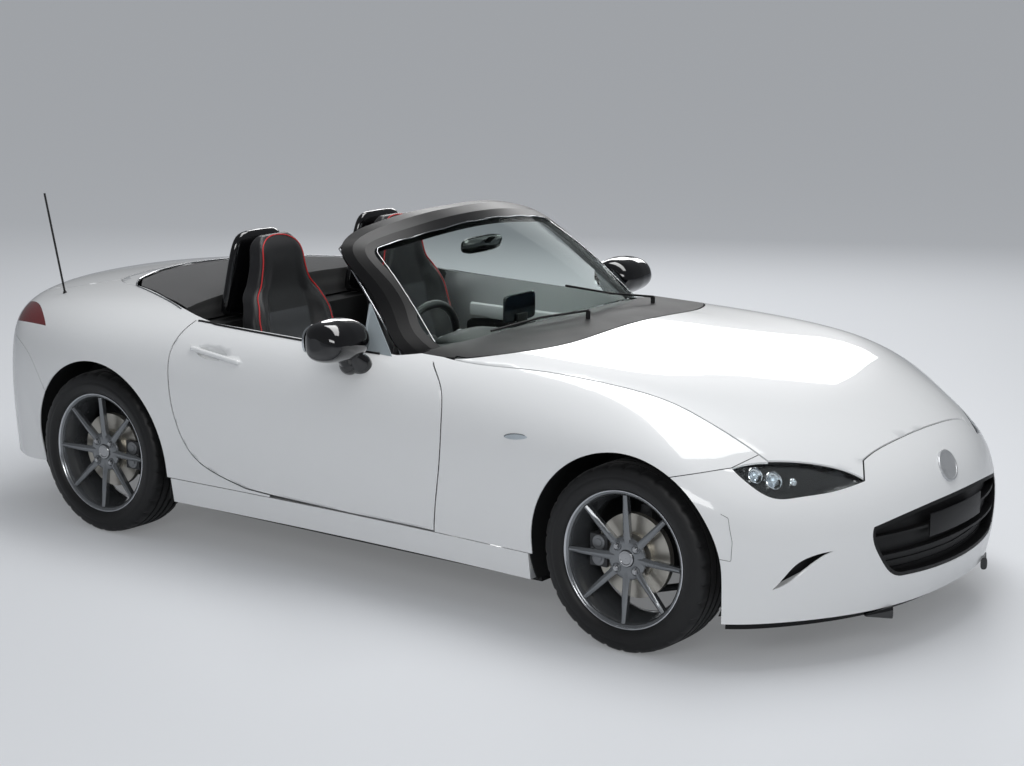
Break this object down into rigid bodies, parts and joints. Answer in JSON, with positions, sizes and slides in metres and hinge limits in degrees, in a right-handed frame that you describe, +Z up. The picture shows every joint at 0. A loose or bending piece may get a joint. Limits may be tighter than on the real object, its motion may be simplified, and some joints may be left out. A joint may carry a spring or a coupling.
{
  "type": "two-seat open sports car",
  "caption": "White two-seat open roadster with folded black soft top, slim headlamps, long hood, black windscreen frame and dark alloy road wheels",
  "frame": {"origin": "centre of the length and width at the ground, as parked", "axes": "+X forwards to the nose, +Y to the car's left, +Z up"},
  "size_m": [3.9068, 1.9206, 1.2087],
  "materials": {
    "pearl_paint": "gloss pearl",
    "tyre_rubber": "matte",
    "gunmetal_alloy": "satin",
    "disc_iron": "satin",
    "gloss_black": "gloss",
    "clear_glass": "gloss",
    "frame_black": "satin",
    "lamp_lens": "gloss",
    "red_lens": "gloss",
    "black_leather": "satin",
    "roof_cloth": "matte",
    "cast_grey": "matte",
    "underbody_coat": "matte",
    "steel_pipe": "satin",
    "black_plastic": "matte"
  },
  "bodies": {
    "body": {"antenna": "black_plastic", "centre_console": "black_plastic", "cowl_panel": "black_plastic", "dashboard": "black_plastic", "engine_block": "cast_grey", "exhaust": "steel_pipe", "fender_left": "pearl_paint", "fender_right": "pearl_paint", "floor_tub": "underbody_coat", "folded_top": "roof_cloth", "front_bumper": "pearl_paint", "front_grille": "black_plastic", "front_lip": "black_plastic", "front_suspension": "cast_grey", "headlamps": "lamp_lens", "quarter_left": "pearl_paint", "quarter_right": "pearl_paint", "rear_bumper": "pearl_paint", "rear_deck": "pearl_paint", "rear_suspension": "cast_grey", "roll_hoops": "gloss_black", "seat_left": "black_leather", "seat_right": "black_leather", "side_sills": "pearl_paint", "tail_lamps": "red_lens", "windscreen_frame": "frame_black", "windscreen_glass": "clear_glass", "wipers": "black_plastic"},
    "hood_lid": {"hood": "pearl_paint"},
    "boot_cover": {"boot_lid": "pearl_paint"},
    "left_door": {"door_left": "pearl_paint", "mirror_left": "gloss_black", "vent_light_left": "clear_glass"},
    "right_door": {"door_right": "pearl_paint", "mirror_right": "gloss_black", "vent_light_right": "clear_glass"},
    "steering": {"steering_wheel": "black_plastic"},
    "steer_left": {"knuckle_left": "cast_grey"},
    "steer_right": {"knuckle_right": "cast_grey"},
    "roadwheel_front_left": {"wheel_front_left": "gunmetal_alloy", "tyre_front_left": "tyre_rubber", "brake_disc_front_left": "disc_iron"},
    "roadwheel_front_right": {"wheel_front_right": "gunmetal_alloy", "tyre_front_right": "tyre_rubber", "brake_disc_front_right": "disc_iron"},
    "roadwheel_rear_left": {"wheel_rear_left": "gunmetal_alloy", "tyre_rear_left": "tyre_rubber", "brake_disc_rear_left": "disc_iron"},
    "roadwheel_rear_right": {"wheel_rear_right": "gunmetal_alloy", "tyre_rear_right": "tyre_rubber", "brake_disc_rear_right": "disc_iron"}
  },
  "joints": [
    {"name": "hood_hinge", "type": "hinge", "parent": "body", "child": "hood_lid", "pos_m": [0.46991, 0, 0.7947], "axis": [0, -1, 0], "range_deg": [0, 45]},
    {"name": "boot_lid_hinge", "type": "hinge", "parent": "body", "child": "boot_cover", "pos_m": [-1.39959, 0, 0.8451], "axis": [0, 1, 0], "range_deg": [0, 65]},
    {"name": "left_door_hinge", "type": "hinge", "parent": "body", "child": "left_door", "pos_m": [0.54609, 0.812, 0.45], "axis": [0, 0, -1], "range_deg": [0, 60]},
    {"name": "right_door_hinge", "type": "hinge", "parent": "body", "child": "right_door", "pos_m": [0.54609, -0.812, 0.45], "axis": [0, 0, 1], "range_deg": [0, 60]},
    {"name": "steer_left_pivot", "type": "hinge", "parent": "body", "child": "steer_left", "pos_m": [1.2195, 0.692, 0.3], "axis": [0, 0, 1], "range_deg": [-32, 32]},
    {"name": "steer_right_pivot", "type": "hinge", "parent": "body", "child": "steer_right", "pos_m": [1.2195, -0.692, 0.3], "axis": [0, 0, 1], "range_deg": [-32, 32]},
    {"name": "steering_wheel_turn", "type": "hinge", "parent": "body", "child": "steering", "pos_m": [0.1107, -0.34, 0.7335], "axis": [-0.9871, 0, 0.1602], "range_deg": [-480, 480]},
    {"name": "front_left_spin", "type": "hinge", "parent": "steer_left", "child": "roadwheel_front_left", "pos_m": [1.2195, 0.7475, 0.3], "axis": [0, 1, 0], "continuous": true},
    {"name": "front_right_spin", "type": "hinge", "parent": "steer_right", "child": "roadwheel_front_right", "pos_m": [1.2195, -0.7475, 0.3], "axis": [0, 1, 0], "continuous": true},
    {"name": "rear_left_spin", "type": "hinge", "parent": "body", "child": "roadwheel_rear_left", "pos_m": [-1.0905, 0.7525, 0.3], "axis": [0, 1, 0], "continuous": true},
    {"name": "rear_right_spin", "type": "hinge", "parent": "body", "child": "roadwheel_rear_right", "pos_m": [-1.0905, -0.7525, 0.3], "axis": [0, 1, 0], "continuous": true}
  ],
  "couplings": [
    {"joint": "steer_right_pivot", "follows": "steer_left_pivot", "ratio": 1},
    {"joint": "steering_wheel_turn", "follows": "steer_left_pivot", "ratio": 15}
  ]
}
